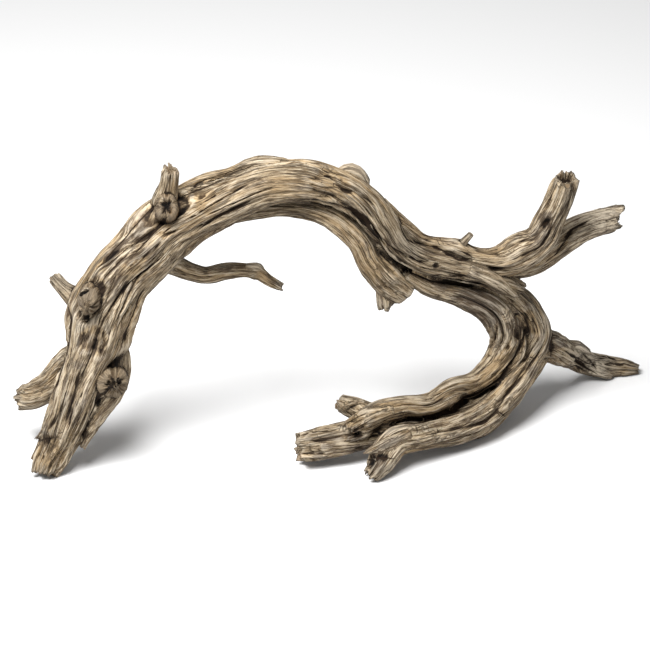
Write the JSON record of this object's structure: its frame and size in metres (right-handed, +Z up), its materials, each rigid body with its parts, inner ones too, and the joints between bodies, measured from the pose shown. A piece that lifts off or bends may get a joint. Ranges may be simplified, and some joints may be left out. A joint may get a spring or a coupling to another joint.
{
  "type": "piece of driftwood",
  "caption": "Weathered grey driftwood limb that stands as an arch and winds into a hook, with forks, spurs, knots and splintered ends.",
  "frame": {"origin": "middle of the bounding box on the ground it stands on", "axes": "+X along its length from the splintered foot to the tail, +Y away from the viewer in the picture, +Z up"},
  "size_m": [0.6448, 0.2252, 0.3296],
  "materials": {
    "driftwood": "dry weathered grey-tan, matte"
  },
  "bodies": {
    "root": {"driftwood": "driftwood"}
  },
  "joints": []
}
